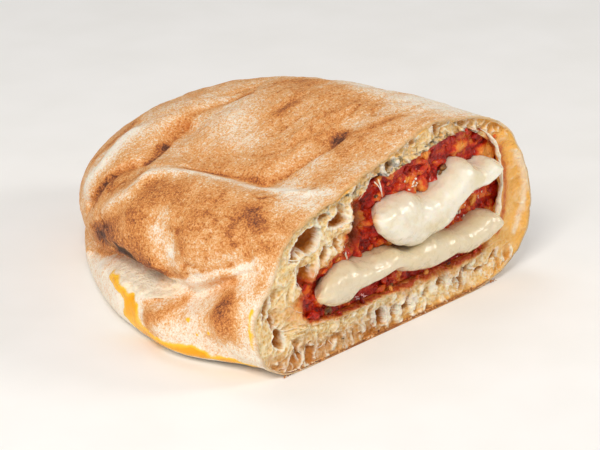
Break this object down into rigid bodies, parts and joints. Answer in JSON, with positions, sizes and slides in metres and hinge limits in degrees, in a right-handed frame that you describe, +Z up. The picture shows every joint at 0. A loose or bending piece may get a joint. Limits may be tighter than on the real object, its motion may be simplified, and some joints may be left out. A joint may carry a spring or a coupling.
{
  "type": "calzone",
  "caption": "Half of a baked calzone, cut across: brown blistered crust, sealed seam on one side, torn white crumb, and tomato with melted mozzarella showing at the cut.",
  "frame": {"origin": "on the flat base, under the middle of the body", "axes": "+Z up from the base, -Y out of the cut face, +Y towards the rounded tip, -X towards the sealed seam, +X towards the smooth fold"},
  "size_m": [0.1521, 0.156, 0.0738],
  "materials": {
    "baked_dough": "baked wheat crust, dry and matt, light cream crumb at the cut",
    "tomato": "crushed tomato, wet",
    "mozzarella": "melted mozzarella, smooth and glossy"
  },
  "bodies": {
    "root": {"dough": "baked_dough", "tomato_filling": "tomato", "mozzarella_upper": "mozzarella", "mozzarella_lower": "mozzarella"}
  },
  "joints": []
}
